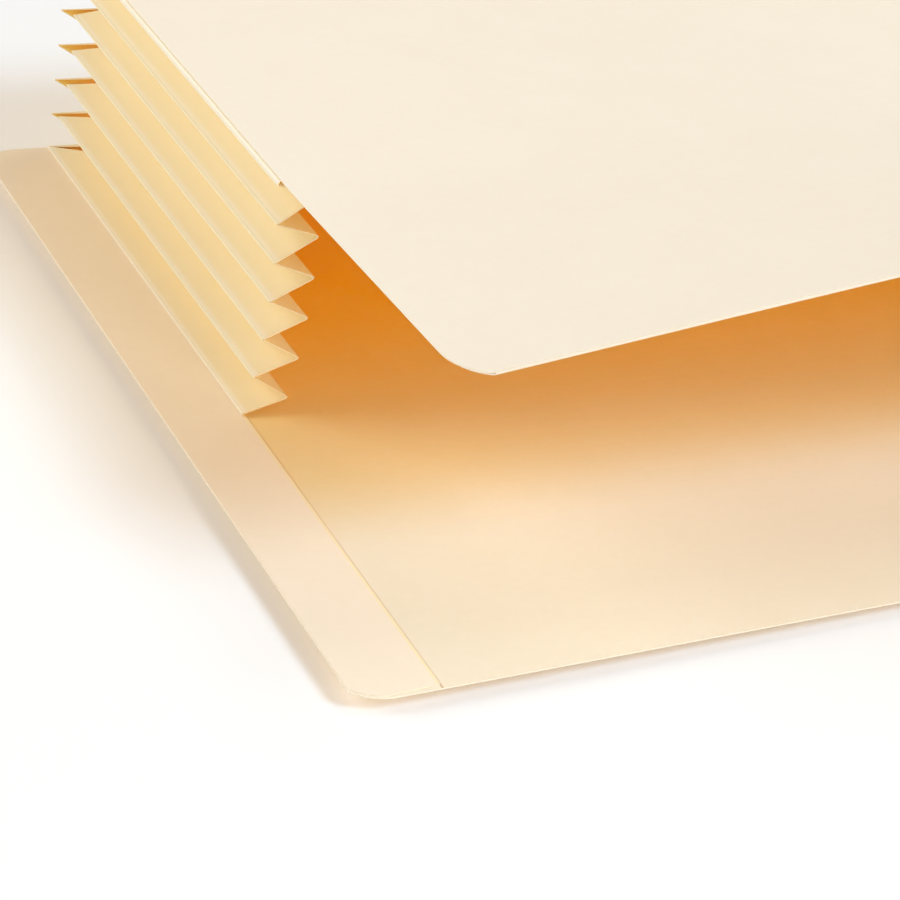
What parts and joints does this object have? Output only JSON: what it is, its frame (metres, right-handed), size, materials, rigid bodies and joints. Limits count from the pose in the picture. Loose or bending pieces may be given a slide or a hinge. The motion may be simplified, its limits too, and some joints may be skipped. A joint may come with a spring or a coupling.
{
  "type": "file pocket",
  "caption": "Expanding manila file pocket with a folded end tab, pleated gusset on three sides and an open mouth, lying on its back panel.",
  "frame": {"origin": "on the surface that the pocket lies on, below the middle of the back panel", "axes": "+X along the mouth from the end tab, +Y from the mouth to the bottom of the pocket, +Z from the back panel to the front panel"},
  "size_m": [0.3112, 0.2414, 0.0835],
  "materials": {
    "manila_board": "uncoated manila board",
    "gusset_paper": "uncoated gusset paper",
    "gusset_fold": "gusset paper worn pale along its folds"
  },
  "bodies": {
    "back": {"back_panel": "manila_board", "left_lower_flange": "gusset_paper", "bottom_lower_flange": "gusset_paper", "right_lower_flange": "gusset_paper"},
    "front": {"front_panel": "manila_board", "front_hem": "manila_board", "left_upper_flange": "gusset_paper", "bottom_upper_flange": "gusset_paper", "right_upper_flange": "gusset_paper"},
    "left_crease_1": {"left_crease_1": "gusset_fold"},
    "left_crease_2": {"left_crease_2": "gusset_fold"},
    "left_crease_3": {"left_crease_3": "gusset_fold"},
    "left_crease_4": {"left_crease_4": "gusset_fold"},
    "left_crease_5": {"left_crease_5": "gusset_fold"},
    "left_face_01": {"left_face_01": "gusset_paper"},
    "left_face_02": {"left_face_02": "gusset_paper"},
    "left_face_03": {"left_face_03": "gusset_paper"},
    "left_face_04": {"left_face_04": "gusset_paper"},
    "left_face_05": {"left_face_05": "gusset_paper"},
    "left_face_06": {"left_face_06": "gusset_paper"},
    "left_face_07": {"left_face_07": "gusset_paper"},
    "left_face_08": {"left_face_08": "gusset_paper"},
    "left_face_09": {"left_face_09": "gusset_paper"},
    "left_face_10": {"left_face_10": "gusset_paper"},
    "left_face_11": {"left_face_11": "gusset_paper"},
    "left_face_12": {"left_face_12": "gusset_paper"},
    "bottom_crease_1": {"bottom_crease_1": "gusset_fold"},
    "bottom_crease_2": {"bottom_crease_2": "gusset_fold"},
    "bottom_crease_3": {"bottom_crease_3": "gusset_fold"},
    "bottom_crease_4": {"bottom_crease_4": "gusset_fold"},
    "bottom_crease_5": {"bottom_crease_5": "gusset_fold"},
    "bottom_face_01": {"bottom_face_01": "gusset_paper"},
    "bottom_face_02": {"bottom_face_02": "gusset_paper"},
    "bottom_face_03": {"bottom_face_03": "gusset_paper"},
    "bottom_face_04": {"bottom_face_04": "gusset_paper"},
    "bottom_face_05": {"bottom_face_05": "gusset_paper"},
    "bottom_face_06": {"bottom_face_06": "gusset_paper"},
    "bottom_face_07": {"bottom_face_07": "gusset_paper"},
    "bottom_face_08": {"bottom_face_08": "gusset_paper"},
    "bottom_face_09": {"bottom_face_09": "gusset_paper"},
    "bottom_face_10": {"bottom_face_10": "gusset_paper"},
    "bottom_face_11": {"bottom_face_11": "gusset_paper"},
    "bottom_face_12": {"bottom_face_12": "gusset_paper"},
    "right_crease_1": {"right_crease_1": "gusset_fold"},
    "right_crease_2": {"right_crease_2": "gusset_fold"},
    "right_crease_3": {"right_crease_3": "gusset_fold"},
    "right_crease_4": {"right_crease_4": "gusset_fold"},
    "right_crease_5": {"right_crease_5": "gusset_fold"},
    "right_face_01": {"right_face_01": "gusset_paper"},
    "right_face_02": {"right_face_02": "gusset_paper"},
    "right_face_03": {"right_face_03": "gusset_paper"},
    "right_face_04": {"right_face_04": "gusset_paper"},
    "right_face_05": {"right_face_05": "gusset_paper"},
    "right_face_06": {"right_face_06": "gusset_paper"},
    "right_face_07": {"right_face_07": "gusset_paper"},
    "right_face_08": {"right_face_08": "gusset_paper"},
    "right_face_09": {"right_face_09": "gusset_paper"},
    "right_face_10": {"right_face_10": "gusset_paper"},
    "right_face_11": {"right_face_11": "gusset_paper"},
    "right_face_12": {"right_face_12": "gusset_paper"}
  },
  "joints": [
    {"name": "front_lift", "type": "slide", "parent": "back", "child": "front", "axis": [0, 0, 1], "range_m": [-0.05412, 0.0227]},
    {"name": "left_crease_1_lift", "type": "slide", "parent": "back", "child": "left_crease_1", "axis": [0.164, 0, 0.9865], "range_m": [-0.00927, 0.00396]},
    {"name": "left_crease_2_lift", "type": "slide", "parent": "back", "child": "left_crease_2", "axis": [0.1319, 0, 0.9913], "range_m": [-0.01846, 0.00789]},
    {"name": "left_crease_3_lift", "type": "slide", "parent": "back", "child": "left_crease_3", "axis": [0.0993, 0, 0.9951], "range_m": [-0.02758, 0.01179]},
    {"name": "left_crease_4_lift", "type": "slide", "parent": "back", "child": "left_crease_4", "axis": [0.0664, 0, 0.9978], "range_m": [-0.03667, 0.01568]},
    {"name": "left_crease_5_lift", "type": "slide", "parent": "back", "child": "left_crease_5", "axis": [0.0332, 0, 0.9994], "range_m": [-0.04577, 0.01957]},
    {"name": "left_face_01_fold", "type": "hinge", "parent": "back", "child": "left_face_01", "pos_m": [-0.13617, 0.05145, 0.00145], "axis": [0, -1, 0], "range_deg": [-15.92, 6.81]},
    {"name": "left_face_02_fold", "type": "hinge", "parent": "left_crease_1", "child": "left_face_02", "pos_m": [-0.13467, 0.05145, 0.01107], "axis": [0, 1, 0], "range_deg": [-35.07, 14.99]},
    {"name": "left_face_03_fold", "type": "hinge", "parent": "left_crease_1", "child": "left_face_03", "pos_m": [-0.13467, 0.05145, 0.01167], "axis": [0, -1, 0], "range_deg": [-19.48, 8.33]},
    {"name": "left_face_04_fold", "type": "hinge", "parent": "left_crease_2", "child": "left_face_04", "pos_m": [-0.13378, 0.05145, 0.02129], "axis": [0, 1, 0], "range_deg": [-31.04, 13.27]},
    {"name": "left_face_05_fold", "type": "hinge", "parent": "left_crease_2", "child": "left_face_05", "pos_m": [-0.13378, 0.05145, 0.02189], "axis": [0, -1, 0], "range_deg": [-23.21, 9.92]},
    {"name": "left_face_06_fold", "type": "hinge", "parent": "left_crease_3", "child": "left_face_06", "pos_m": [-0.13348, 0.05145, 0.03151], "axis": [0, 1, 0], "range_deg": [-27.07, 11.57]},
    {"name": "left_face_07_fold", "type": "hinge", "parent": "left_crease_3", "child": "left_face_07", "pos_m": [-0.13348, 0.05145, 0.03211], "axis": [0, -1, 0], "range_deg": [-27.07, 11.57]},
    {"name": "left_face_08_fold", "type": "hinge", "parent": "left_crease_4", "child": "left_face_08", "pos_m": [-0.13378, 0.05145, 0.04173], "axis": [0, 1, 0], "range_deg": [-23.21, 9.92]},
    {"name": "left_face_09_fold", "type": "hinge", "parent": "left_crease_4", "child": "left_face_09", "pos_m": [-0.13378, 0.05145, 0.04233], "axis": [0, -1, 0], "range_deg": [-31.04, 13.27]},
    {"name": "left_face_10_fold", "type": "hinge", "parent": "left_crease_5", "child": "left_face_10", "pos_m": [-0.13467, 0.05145, 0.05195], "axis": [0, 1, 0], "range_deg": [-19.48, 8.33]},
    {"name": "left_face_11_fold", "type": "hinge", "parent": "left_crease_5", "child": "left_face_11", "pos_m": [-0.13467, 0.05145, 0.05255], "axis": [0, -1, 0], "range_deg": [-35.07, 14.99]},
    {"name": "left_face_12_fold", "type": "hinge", "parent": "front", "child": "left_face_12", "pos_m": [-0.13617, 0.05145, 0.06217], "axis": [0, 1, 0], "range_deg": [-15.92, 6.81]},
    {"name": "bottom_crease_1_lift", "type": "slide", "parent": "back", "child": "bottom_crease_1", "axis": [0, 0, 1], "range_m": [-0.00915, 0.00391]},
    {"name": "bottom_crease_2_lift", "type": "slide", "parent": "back", "child": "bottom_crease_2", "axis": [0, 0, 1], "range_m": [-0.0183, 0.00782]},
    {"name": "bottom_crease_3_lift", "type": "slide", "parent": "back", "child": "bottom_crease_3", "axis": [0, 0, 1], "range_m": [-0.02744, 0.01173]},
    {"name": "bottom_crease_4_lift", "type": "slide", "parent": "back", "child": "bottom_crease_4", "axis": [0, 0, 1], "range_m": [-0.03659, 0.01564]},
    {"name": "bottom_crease_5_lift", "type": "slide", "parent": "back", "child": "bottom_crease_5", "axis": [0, 0, 1], "range_m": [-0.04574, 0.01956]},
    {"name": "bottom_face_01_fold", "type": "hinge", "parent": "back", "child": "bottom_face_01", "pos_m": [0.00923, 0.1197, 0.00145], "axis": [-1, 0, 0], "range_deg": [-25.13, 10.74]},
    {"name": "bottom_face_02_fold", "type": "hinge", "parent": "bottom_crease_1", "child": "bottom_face_02", "pos_m": [0.00923, 0.1197, 0.01107], "axis": [1, 0, 0], "range_deg": [-25.13, 10.74]},
    {"name": "bottom_face_03_fold", "type": "hinge", "parent": "bottom_crease_1", "child": "bottom_face_03", "pos_m": [0.00923, 0.1197, 0.01167], "axis": [-1, 0, 0], "range_deg": [-25.13, 10.74]},
    {"name": "bottom_face_04_fold", "type": "hinge", "parent": "bottom_crease_2", "child": "bottom_face_04", "pos_m": [0.00923, 0.1197, 0.02129], "axis": [1, 0, 0], "range_deg": [-25.13, 10.74]},
    {"name": "bottom_face_05_fold", "type": "hinge", "parent": "bottom_crease_2", "child": "bottom_face_05", "pos_m": [0.00923, 0.1197, 0.02189], "axis": [-1, 0, 0], "range_deg": [-25.13, 10.74]},
    {"name": "bottom_face_06_fold", "type": "hinge", "parent": "bottom_crease_3", "child": "bottom_face_06", "pos_m": [0.00923, 0.1197, 0.03151], "axis": [1, 0, 0], "range_deg": [-25.13, 10.74]},
    {"name": "bottom_face_07_fold", "type": "hinge", "parent": "bottom_crease_3", "child": "bottom_face_07", "pos_m": [0.00923, 0.1197, 0.03211], "axis": [-1, 0, 0], "range_deg": [-25.13, 10.74]},
    {"name": "bottom_face_08_fold", "type": "hinge", "parent": "bottom_crease_4", "child": "bottom_face_08", "pos_m": [0.00923, 0.1197, 0.04173], "axis": [1, 0, 0], "range_deg": [-25.13, 10.74]},
    {"name": "bottom_face_09_fold", "type": "hinge", "parent": "bottom_crease_4", "child": "bottom_face_09", "pos_m": [0.00923, 0.1197, 0.04233], "axis": [-1, 0, 0], "range_deg": [-25.13, 10.74]},
    {"name": "bottom_face_10_fold", "type": "hinge", "parent": "bottom_crease_5", "child": "bottom_face_10", "pos_m": [0.00923, 0.1197, 0.05195], "axis": [1, 0, 0], "range_deg": [-25.13, 10.74]},
    {"name": "bottom_face_11_fold", "type": "hinge", "parent": "bottom_crease_5", "child": "bottom_face_11", "pos_m": [0.00923, 0.1197, 0.05255], "axis": [-1, 0, 0], "range_deg": [-25.13, 10.74]},
    {"name": "bottom_face_12_fold", "type": "hinge", "parent": "front", "child": "bottom_face_12", "pos_m": [0.00923, 0.1197, 0.06217], "axis": [1, 0, 0], "range_deg": [-25.13, 10.74]},
    {"name": "right_crease_1_lift", "type": "slide", "parent": "back", "child": "right_crease_1", "axis": [-0.164, 0, 0.9865], "range_m": [-0.00927, 0.00396]},
    {"name": "right_crease_2_lift", "type": "slide", "parent": "back", "child": "right_crease_2", "axis": [-0.1319, 0, 0.9913], "range_m": [-0.01846, 0.00789]},
    {"name": "right_crease_3_lift", "type": "slide", "parent": "back", "child": "right_crease_3", "axis": [-0.0993, 0, 0.9951], "range_m": [-0.02758, 0.01179]},
    {"name": "right_crease_4_lift", "type": "slide", "parent": "back", "child": "right_crease_4", "axis": [-0.0664, 0, 0.9978], "range_m": [-0.03667, 0.01568]},
    {"name": "right_crease_5_lift", "type": "slide", "parent": "back", "child": "right_crease_5", "axis": [-0.0332, 0, 0.9994], "range_m": [-0.04577, 0.01957]},
    {"name": "right_face_01_fold", "type": "hinge", "parent": "back", "child": "right_face_01", "pos_m": [0.15463, 0.05145, 0.00145], "axis": [0, 1, 0], "range_deg": [-15.92, 6.81]},
    {"name": "right_face_02_fold", "type": "hinge", "parent": "right_crease_1", "child": "right_face_02", "pos_m": [0.15313, 0.05145, 0.01107], "axis": [0, -1, 0], "range_deg": [-35.07, 14.99]},
    {"name": "right_face_03_fold", "type": "hinge", "parent": "right_crease_1", "child": "right_face_03", "pos_m": [0.15313, 0.05145, 0.01167], "axis": [0, 1, 0], "range_deg": [-19.48, 8.33]},
    {"name": "right_face_04_fold", "type": "hinge", "parent": "right_crease_2", "child": "right_face_04", "pos_m": [0.15222, 0.05145, 0.02129], "axis": [0, -1, 0], "range_deg": [-31.04, 13.27]},
    {"name": "right_face_05_fold", "type": "hinge", "parent": "right_crease_2", "child": "right_face_05", "pos_m": [0.15222, 0.05145, 0.02189], "axis": [0, 1, 0], "range_deg": [-23.21, 9.92]},
    {"name": "right_face_06_fold", "type": "hinge", "parent": "right_crease_3", "child": "right_face_06", "pos_m": [0.15193, 0.05145, 0.03151], "axis": [0, -1, 0], "range_deg": [-27.07, 11.57]},
    {"name": "right_face_07_fold", "type": "hinge", "parent": "right_crease_3", "child": "right_face_07", "pos_m": [0.15193, 0.05145, 0.03211], "axis": [0, 1, 0], "range_deg": [-27.07, 11.57]},
    {"name": "right_face_08_fold", "type": "hinge", "parent": "right_crease_4", "child": "right_face_08", "pos_m": [0.15222, 0.05145, 0.04173], "axis": [0, -1, 0], "range_deg": [-23.21, 9.92]},
    {"name": "right_face_09_fold", "type": "hinge", "parent": "right_crease_4", "child": "right_face_09", "pos_m": [0.15222, 0.05145, 0.04233], "axis": [0, 1, 0], "range_deg": [-31.04, 13.27]},
    {"name": "right_face_10_fold", "type": "hinge", "parent": "right_crease_5", "child": "right_face_10", "pos_m": [0.15313, 0.05145, 0.05195], "axis": [0, -1, 0], "range_deg": [-19.48, 8.33]},
    {"name": "right_face_11_fold", "type": "hinge", "parent": "right_crease_5", "child": "right_face_11", "pos_m": [0.15313, 0.05145, 0.05255], "axis": [0, 1, 0], "range_deg": [-35.07, 14.99]},
    {"name": "right_face_12_fold", "type": "hinge", "parent": "front", "child": "right_face_12", "pos_m": [0.15463, 0.05145, 0.06217], "axis": [0, -1, 0], "range_deg": [-15.92, 6.81]}
  ],
  "couplings": [
    {"joint": "left_crease_1_lift", "follows": "front_lift", "ratio": 0.16896},
    {"joint": "left_crease_2_lift", "follows": "front_lift", "ratio": 0.33627},
    {"joint": "left_crease_3_lift", "follows": "front_lift", "ratio": 0.50248},
    {"joint": "left_crease_4_lift", "follows": "front_lift", "ratio": 0.66814},
    {"joint": "left_crease_5_lift", "follows": "front_lift", "ratio": 0.83379},
    {"joint": "left_face_01_fold", "follows": "front_lift", "rad_per_m": 5.062},
    {"joint": "left_face_02_fold", "follows": "front_lift", "rad_per_m": 11.152},
    {"joint": "left_face_03_fold", "follows": "front_lift", "rad_per_m": 6.1944},
    {"joint": "left_face_04_fold", "follows": "front_lift", "rad_per_m": 9.8695},
    {"joint": "left_face_05_fold", "follows": "front_lift", "rad_per_m": 7.38},
    {"joint": "left_face_06_fold", "follows": "front_lift", "rad_per_m": 8.6086},
    {"joint": "left_face_07_fold", "follows": "front_lift", "rad_per_m": 8.6086},
    {"joint": "left_face_08_fold", "follows": "front_lift", "rad_per_m": 7.38},
    {"joint": "left_face_09_fold", "follows": "front_lift", "rad_per_m": 9.8695},
    {"joint": "left_face_10_fold", "follows": "front_lift", "rad_per_m": 6.1944},
    {"joint": "left_face_11_fold", "follows": "front_lift", "rad_per_m": 11.152},
    {"joint": "left_face_12_fold", "follows": "front_lift", "rad_per_m": 5.062},
    {"joint": "bottom_crease_1_lift", "follows": "front_lift", "ratio": 0.16667},
    {"joint": "bottom_crease_2_lift", "follows": "front_lift", "ratio": 0.33333},
    {"joint": "bottom_crease_3_lift", "follows": "front_lift", "ratio": 0.5},
    {"joint": "bottom_crease_4_lift", "follows": "front_lift", "ratio": 0.66667},
    {"joint": "bottom_crease_5_lift", "follows": "front_lift", "ratio": 0.83333},
    {"joint": "bottom_face_01_fold", "follows": "front_lift", "rad_per_m": 7.9896},
    {"joint": "bottom_face_02_fold", "follows": "front_lift", "rad_per_m": 7.9896},
    {"joint": "bottom_face_03_fold", "follows": "front_lift", "rad_per_m": 7.9896},
    {"joint": "bottom_face_04_fold", "follows": "front_lift", "rad_per_m": 7.9896},
    {"joint": "bottom_face_05_fold", "follows": "front_lift", "rad_per_m": 7.9896},
    {"joint": "bottom_face_06_fold", "follows": "front_lift", "rad_per_m": 7.9896},
    {"joint": "bottom_face_07_fold", "follows": "front_lift", "rad_per_m": 7.9896},
    {"joint": "bottom_face_08_fold", "follows": "front_lift", "rad_per_m": 7.9896},
    {"joint": "bottom_face_09_fold", "follows": "front_lift", "rad_per_m": 7.9896},
    {"joint": "bottom_face_10_fold", "follows": "front_lift", "rad_per_m": 7.9896},
    {"joint": "bottom_face_11_fold", "follows": "front_lift", "rad_per_m": 7.9896},
    {"joint": "bottom_face_12_fold", "follows": "front_lift", "rad_per_m": 7.9896},
    {"joint": "right_crease_1_lift", "follows": "front_lift", "ratio": 0.16896},
    {"joint": "right_crease_2_lift", "follows": "front_lift", "ratio": 0.33627},
    {"joint": "right_crease_3_lift", "follows": "front_lift", "ratio": 0.50248},
    {"joint": "right_crease_4_lift", "follows": "front_lift", "ratio": 0.66814},
    {"joint": "right_crease_5_lift", "follows": "front_lift", "ratio": 0.83379},
    {"joint": "right_face_01_fold", "follows": "front_lift", "rad_per_m": 5.062},
    {"joint": "right_face_02_fold", "follows": "front_lift", "rad_per_m": 11.152},
    {"joint": "right_face_03_fold", "follows": "front_lift", "rad_per_m": 6.1944},
    {"joint": "right_face_04_fold", "follows": "front_lift", "rad_per_m": 9.8695},
    {"joint": "right_face_05_fold", "follows": "front_lift", "rad_per_m": 7.38},
    {"joint": "right_face_06_fold", "follows": "front_lift", "rad_per_m": 8.6086},
    {"joint": "right_face_07_fold", "follows": "front_lift", "rad_per_m": 8.6086},
    {"joint": "right_face_08_fold", "follows": "front_lift", "rad_per_m": 7.38},
    {"joint": "right_face_09_fold", "follows": "front_lift", "rad_per_m": 9.8695},
    {"joint": "right_face_10_fold", "follows": "front_lift", "rad_per_m": 6.1944},
    {"joint": "right_face_11_fold", "follows": "front_lift", "rad_per_m": 11.152},
    {"joint": "right_face_12_fold", "follows": "front_lift", "rad_per_m": 5.062}
  ]
}
